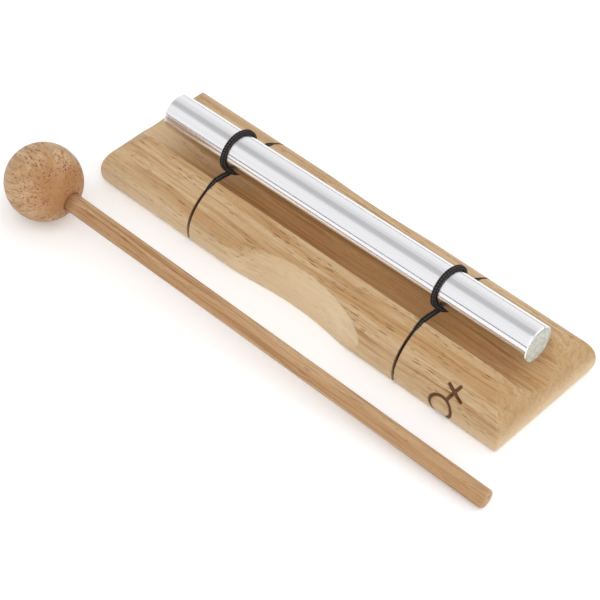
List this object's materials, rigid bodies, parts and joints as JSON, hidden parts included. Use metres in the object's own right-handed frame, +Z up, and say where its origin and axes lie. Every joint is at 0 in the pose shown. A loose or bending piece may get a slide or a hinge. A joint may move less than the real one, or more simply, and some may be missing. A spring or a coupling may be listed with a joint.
{
  "type": "chime bar",
  "caption": "Solid metal bar slung in elastic cords over the trough of a rounded wooden block with finger scoops, with a ball-headed wooden mallet lying in front.",
  "frame": {"origin": "middle of the wooden block's flat underside", "axes": "+X along the bar, towards the end that the picture shows nearest; -Y towards the mallet; +Z up"},
  "size_m": [0.249, 0.1068, 0.0408],
  "materials": {
    "block_wood": "sanded pale hardwood, thin satin lacquer",
    "bar_aluminium": "bright polished sides, sawn ends",
    "cord_black": "braided black cover over an elastic core",
    "mallet_wood": "sanded pale hardwood"
  },
  "bodies": {
    "base": {"base_block": "block_wood", "left_cord": "cord_black", "right_cord": "cord_black"},
    "slings": {"left_cord_turn": "cord_black", "right_cord_turn": "cord_black"},
    "bar": {"chime_bar": "bar_aluminium"},
    "mallet": {"mallet_head": "mallet_wood", "mallet_stick": "mallet_wood"}
  },
  "joints": [
    {"name": "bar_bounce", "type": "slide", "parent": "base", "child": "slings", "axis": [0, 0, 1], "range_m": [-0.003, 0.005], "stiffness_N_per_m": 1800, "springref_m": 0.00057, "deforming": ["left_cord", "right_cord"]},
    {"name": "bar_turn", "type": "hinge", "parent": "slings", "child": "bar", "pos_m": [0, 0, 0.0305], "axis": [0.9999, 0.0131, 0], "continuous": true},
    {"name": "mallet_lift", "type": "slide", "parent": "base", "child": "mallet", "axis": [0, 0, 1], "range_m": [0, 0.15]}
  ]
}
